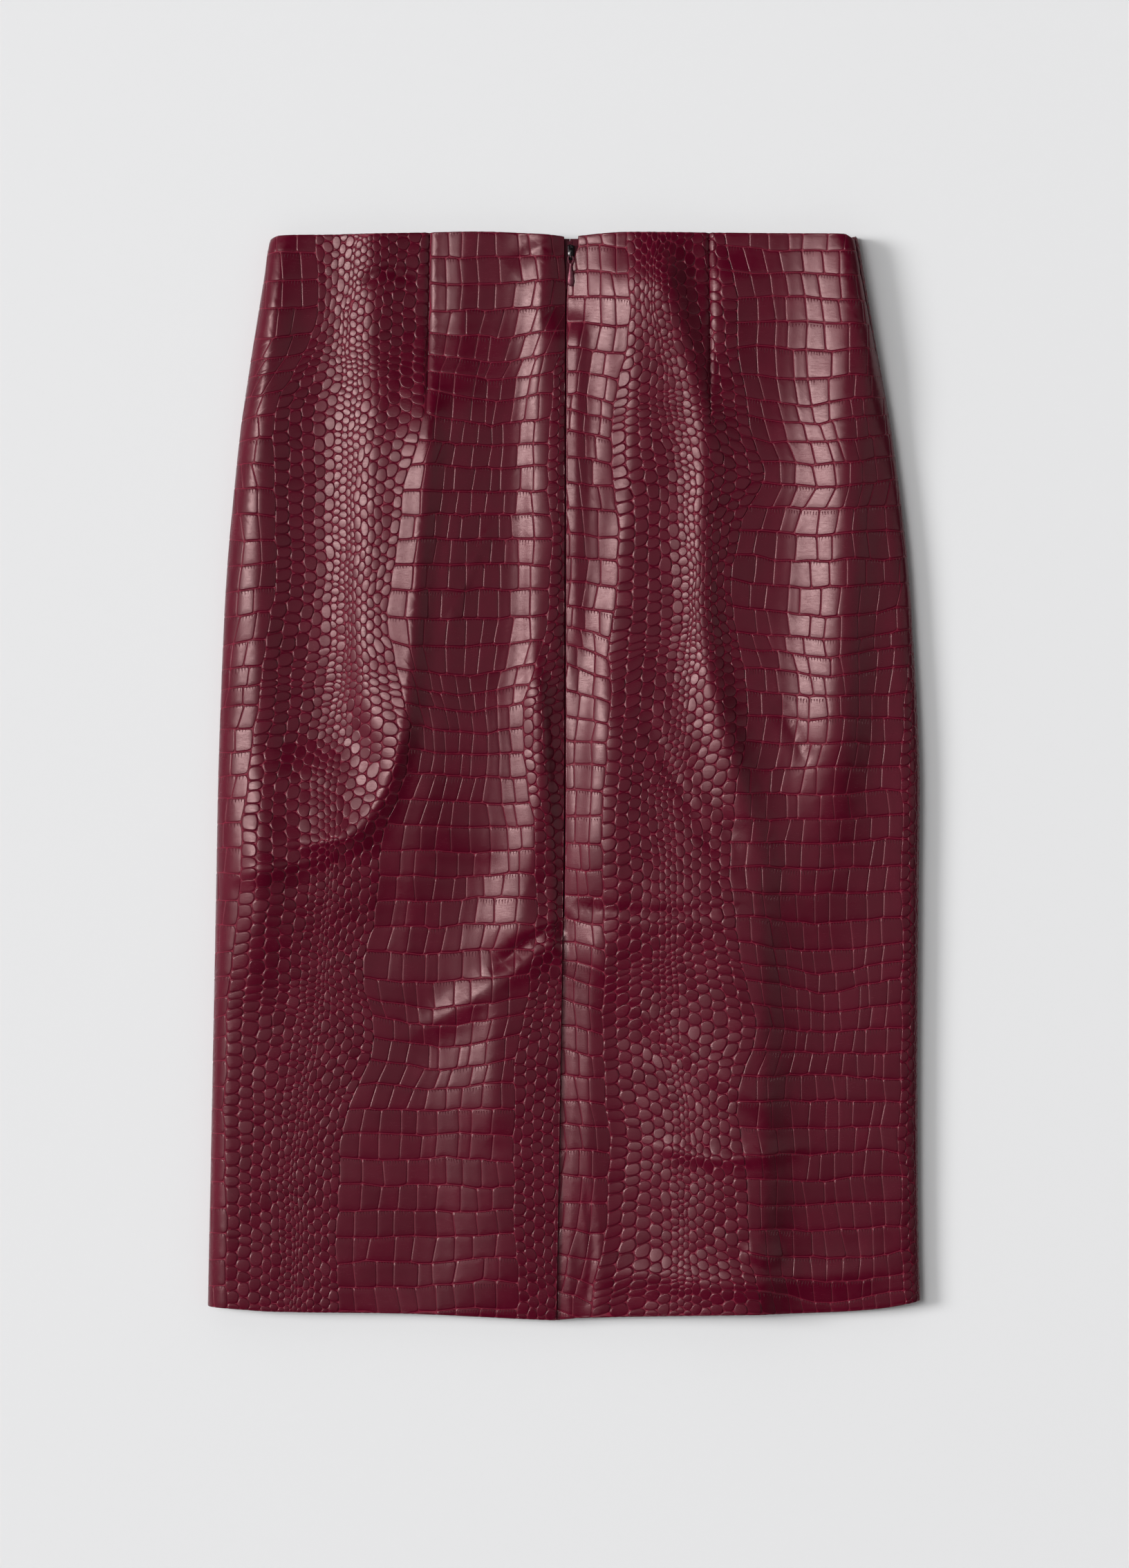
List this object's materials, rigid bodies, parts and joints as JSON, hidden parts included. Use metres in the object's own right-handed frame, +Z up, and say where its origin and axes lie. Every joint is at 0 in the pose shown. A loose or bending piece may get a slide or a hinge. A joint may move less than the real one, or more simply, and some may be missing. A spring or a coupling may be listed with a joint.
{
  "type": "midi skirt",
  "caption": "Knee-length pencil skirt of embossed faux leather laid flat with its back up, with darts, a concealed zip whose pull tab swings, and an overlapping back vent.",
  "frame": {"origin": "on the floor under the middle of the skirt as it lies", "axes": "+Y from the hem to the waist, +X to the right as seen from above the back, +Z up from the floor through the front to the back"},
  "size_m": [0.4595, 0.7012, 0.0203],
  "materials": {
    "leather": "crocodile-embossed faux leather, semi-gloss burgundy",
    "zip_tape": "woven burgundy zip tape",
    "slider_metal": "dark gunmetal",
    "pull_metal": "burgundy lacquer"
  },
  "bodies": {
    "skirt": {"front_panel": "leather", "back_panel_left": "leather", "back_panel_right": "leather", "zip_tape_left": "zip_tape", "zip_tape_right": "zip_tape", "zip_slider": "slider_metal"},
    "pull": {"zip_pull": "pull_metal"}
  },
  "joints": [
    {"name": "pull_swing", "type": "hinge", "parent": "skirt", "child": "pull", "pos_m": [0.0042, 0.3343, 0.0132], "axis": [-1, 0, 0], "range_deg": [0, 170]}
  ]
}
